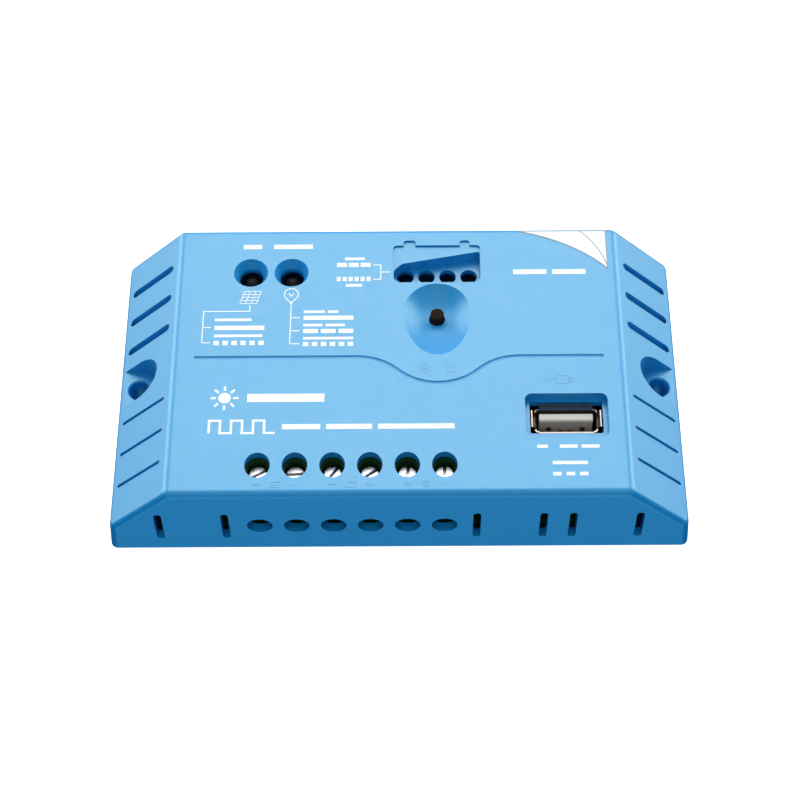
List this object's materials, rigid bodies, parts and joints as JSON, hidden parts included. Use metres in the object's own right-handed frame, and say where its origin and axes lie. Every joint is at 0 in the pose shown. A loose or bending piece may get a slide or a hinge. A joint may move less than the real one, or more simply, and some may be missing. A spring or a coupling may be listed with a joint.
{
  "type": "solar charge controller",
  "caption": "Small wall-mounted solar charge controller: blue sloped-end case with screw terminals, USB outlet, button, status lamps and battery level window.",
  "frame": {"origin": "centre of the underside, on the surface the case is screwed to", "axes": "+X along the case towards the USB outlet's end, +Y towards the edge with the lamps, away from the terminals, +Z out of the wall through the deck"},
  "size_m": [0.1212, 0.067, 0.0218],
  "materials": {
    "case_plastic": "fine matte moulded texture",
    "base_plastic": "fine matte moulded texture",
    "screw_steel": "zinc plated",
    "terminal_screw_steel": "bright nickel plated",
    "board_green": "green solder mask on glass laminate",
    "terminal_green": "green moulded nylon",
    "tinned_copper": "tinned",
    "plated_cage": "nickel plated",
    "usb_steel": "nickel plated sheet",
    "usb_white": "white moulded insulator",
    "gilt": "gold plated",
    "black_plastic": "black moulded",
    "switch_steel": "stainless sheet",
    "button_black": "black moulded stem",
    "lamp_lens": "smoked clear resin, unlit",
    "chip_black": "black epoxy",
    "can_sleeve": "dark shrink sleeve",
    "ferrite": "sintered ferrite",
    "ceramic": "ceramic chip"
  },
  "bodies": {
    "case": {"top_cover": "case_plastic", "base_plate": "base_plastic", "case_screws": "screw_steel", "circuit_board": "board_green", "board_screws": "screw_steel", "terminal_housing": "terminal_green", "terminal_contacts": "tinned_copper", "usb_shell": "usb_steel", "usb_tongue": "usb_white", "usb_contacts": "gilt", "switch_body": "black_plastic", "switch_plate": "switch_steel", "switch_dome": "switch_steel", "led_leads": "tinned_copper", "transistor_bodies": "chip_black", "transistor_tabs": "tinned_copper", "power_inductor": "ferrite", "controller_chip": "chip_black", "small_chips": "chip_black", "chip_pins": "tinned_copper", "current_shunt": "tinned_copper", "power_diodes": "chip_black", "chip_resistors": "ceramic", "solar_led": "lamp_lens", "load_led": "lamp_lens", "input_capacitor": "can_sleeve", "output_capacitor": "can_sleeve", "usb_capacitor": "can_sleeve", "battery_led_1": "lamp_lens", "battery_led_2": "lamp_lens", "battery_led_3": "lamp_lens", "battery_led_4": "lamp_lens"},
    "button": {"button_plunger": "button_black"},
    "screw_1": {"terminal_screw_1": "terminal_screw_steel"},
    "cage_1": {"clamp_cage_1": "plated_cage"},
    "screw_2": {"terminal_screw_2": "terminal_screw_steel"},
    "cage_2": {"clamp_cage_2": "plated_cage"},
    "screw_3": {"terminal_screw_3": "terminal_screw_steel"},
    "cage_3": {"clamp_cage_3": "plated_cage"},
    "screw_4": {"terminal_screw_4": "terminal_screw_steel"},
    "cage_4": {"clamp_cage_4": "plated_cage"},
    "screw_5": {"terminal_screw_5": "terminal_screw_steel"},
    "cage_5": {"clamp_cage_5": "plated_cage"},
    "screw_6": {"terminal_screw_6": "terminal_screw_steel"},
    "cage_6": {"clamp_cage_6": "plated_cage"}
  },
  "joints": [
    {"name": "button_press", "type": "slide", "parent": "case", "child": "button", "axis": [0, 0, -1], "range_m": [0, 0.00025], "stiffness_N_per_m": 8000},
    {"name": "screw_1_turn", "type": "hinge", "parent": "case", "child": "screw_1", "pos_m": [-0.0287, -0.02635, 0.018], "axis": [0, 0, -1], "range_deg": [0, 1805]},
    {"name": "cage_1_rise", "type": "slide", "parent": "case", "child": "cage_1", "axis": [0, 0, 1], "range_m": [0, 0.0025]},
    {"name": "screw_2_turn", "type": "hinge", "parent": "case", "child": "screw_2", "pos_m": [-0.02108, -0.02635, 0.018], "axis": [0, 0, -1], "range_deg": [0, 1805]},
    {"name": "cage_2_rise", "type": "slide", "parent": "case", "child": "cage_2", "axis": [0, 0, 1], "range_m": [0, 0.0025]},
    {"name": "screw_3_turn", "type": "hinge", "parent": "case", "child": "screw_3", "pos_m": [-0.01346, -0.02635, 0.018], "axis": [0, 0, -1], "range_deg": [0, 1805]},
    {"name": "cage_3_rise", "type": "slide", "parent": "case", "child": "cage_3", "axis": [0, 0, 1], "range_m": [0, 0.0025]},
    {"name": "screw_4_turn", "type": "hinge", "parent": "case", "child": "screw_4", "pos_m": [-0.00584, -0.02635, 0.018], "axis": [0, 0, -1], "range_deg": [0, 1805]},
    {"name": "cage_4_rise", "type": "slide", "parent": "case", "child": "cage_4", "axis": [0, 0, 1], "range_m": [0, 0.0025]},
    {"name": "screw_5_turn", "type": "hinge", "parent": "case", "child": "screw_5", "pos_m": [0.00178, -0.02635, 0.018], "axis": [0, 0, -1], "range_deg": [0, 1805]},
    {"name": "cage_5_rise", "type": "slide", "parent": "case", "child": "cage_5", "axis": [0, 0, 1], "range_m": [0, 0.0025]},
    {"name": "screw_6_turn", "type": "hinge", "parent": "case", "child": "screw_6", "pos_m": [0.0094, -0.02635, 0.018], "axis": [0, 0, -1], "range_deg": [0, 1805]},
    {"name": "cage_6_rise", "type": "slide", "parent": "case", "child": "cage_6", "axis": [0, 0, 1], "range_m": [0, 0.0025]}
  ],
  "couplings": [
    {"joint": "screw_1_turn", "follows": "cage_1_rise", "rad_per_m": 12566},
    {"joint": "screw_2_turn", "follows": "cage_2_rise", "rad_per_m": 12566},
    {"joint": "screw_3_turn", "follows": "cage_3_rise", "rad_per_m": 12566},
    {"joint": "screw_4_turn", "follows": "cage_4_rise", "rad_per_m": 12566},
    {"joint": "screw_5_turn", "follows": "cage_5_rise", "rad_per_m": 12566},
    {"joint": "screw_6_turn", "follows": "cage_6_rise", "rad_per_m": 12566}
  ]
}
